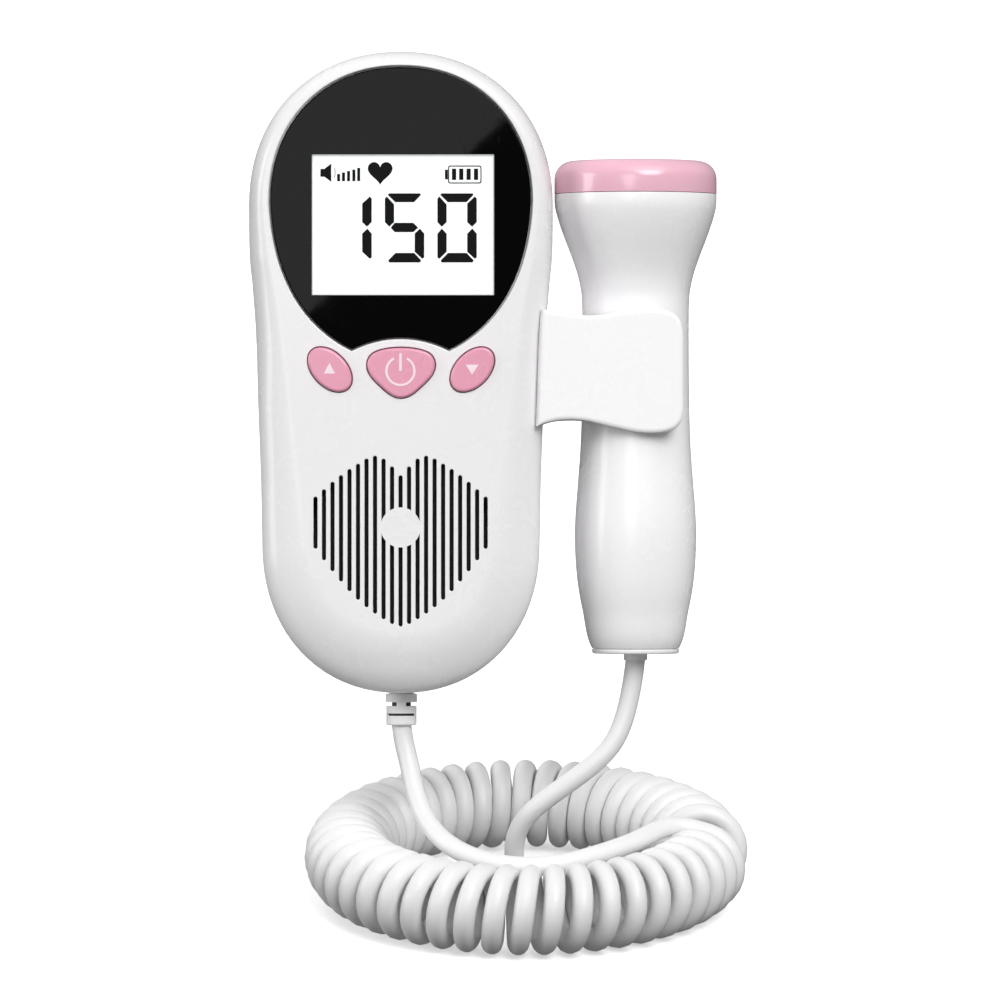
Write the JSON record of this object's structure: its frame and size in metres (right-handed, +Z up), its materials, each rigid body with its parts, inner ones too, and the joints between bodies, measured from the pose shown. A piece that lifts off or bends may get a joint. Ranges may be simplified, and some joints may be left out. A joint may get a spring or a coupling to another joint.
{
  "type": "fetal doppler monitor",
  "caption": "Hand-held heartbeat monitor with screen, push buttons, speaker grille, and a waisted probe in a side clip on a curly cord.",
  "frame": {"origin": "a point on the flat back of the hand unit, on its centre line, 34 mm above its middle", "axes": "+X to the right seen from the front, +Y from front to back, +Z up; the device leans back 15 degrees, so its back face looks back and down"},
  "size_m": [0.1055, 0.0954, 0.1791],
  "materials": {
    "white_gloss": "glossy moulded",
    "black_gloss": "high gloss, printed behind",
    "display": "satin display glass",
    "board": "solder mask",
    "dark_plastic": "matt moulded",
    "pink_gloss": "glossy moulded",
    "clear_pink": "glossy, slightly see-through",
    "cell_wrap": "satin wrap",
    "steel": "nickel plated",
    "carrier": "matt moulded",
    "crystal": "silvered ceramic",
    "pale_rubber": "soft satin",
    "cord": "soft satin"
  },
  "bodies": {
    "hand_unit": {"front_housing": "white_gloss", "rear_housing": "white_gloss", "screen_lens": "black_gloss", "lcd_module": "display", "main_board": "board", "headphone_jack": "dark_plastic", "probe_clip": "white_gloss", "power_switch": "dark_plastic", "volume_up_switch": "dark_plastic", "volume_down_switch": "dark_plastic", "loudspeaker": "dark_plastic", "battery_cell_left": "cell_wrap", "battery_cell_right": "cell_wrap", "battery_bridge_contact": "steel", "battery_positive_contact": "steel", "battery_negative_contact": "steel", "housing_screw_1": "steel", "housing_screw_2": "steel", "housing_screw_3": "steel", "housing_screw_4": "steel", "clip_screw_1": "steel", "clip_screw_2": "steel", "unit_strain_relief": "pale_rubber", "unit_lead": "cord", "curly_cord": "cord", "probe_lead": "cord"},
    "power_button": {"power_button": "pink_gloss"},
    "volume_up_button": {"volume_up_button": "pink_gloss"},
    "volume_down_button": {"volume_down_button": "pink_gloss"},
    "battery_cover": {"battery_cover": "white_gloss"},
    "probe": {"probe_handle": "white_gloss", "probe_head_cap": "clear_pink", "crystal_carrier": "carrier", "transmit_crystal": "crystal", "receive_crystal": "crystal", "probe_board": "board", "probe_end_cap": "white_gloss", "probe_strain_relief": "pale_rubber"}
  },
  "joints": [
    {"name": "power_press", "type": "slide", "parent": "hand_unit", "child": "power_button", "axis": [0, 0.9659, -0.2588], "range_m": [0, 0.0008], "stiffness_N_per_m": 1500},
    {"name": "volume_up_press", "type": "slide", "parent": "hand_unit", "child": "volume_up_button", "axis": [0, 0.9659, -0.2588], "range_m": [0, 0.0008], "stiffness_N_per_m": 1500},
    {"name": "volume_down_press", "type": "slide", "parent": "hand_unit", "child": "volume_down_button", "axis": [0, 0.9659, -0.2588], "range_m": [0, 0.0008], "stiffness_N_per_m": 1500},
    {"name": "battery_cover_release", "type": "slide", "parent": "hand_unit", "child": "battery_cover", "axis": [0, 0.9659, -0.2588], "range_m": [0, 0.015]},
    {"name": "probe_release", "type": "slide", "parent": "hand_unit", "child": "probe", "axis": [1, 0, 0], "range_m": [0, 0.03]}
  ]
}
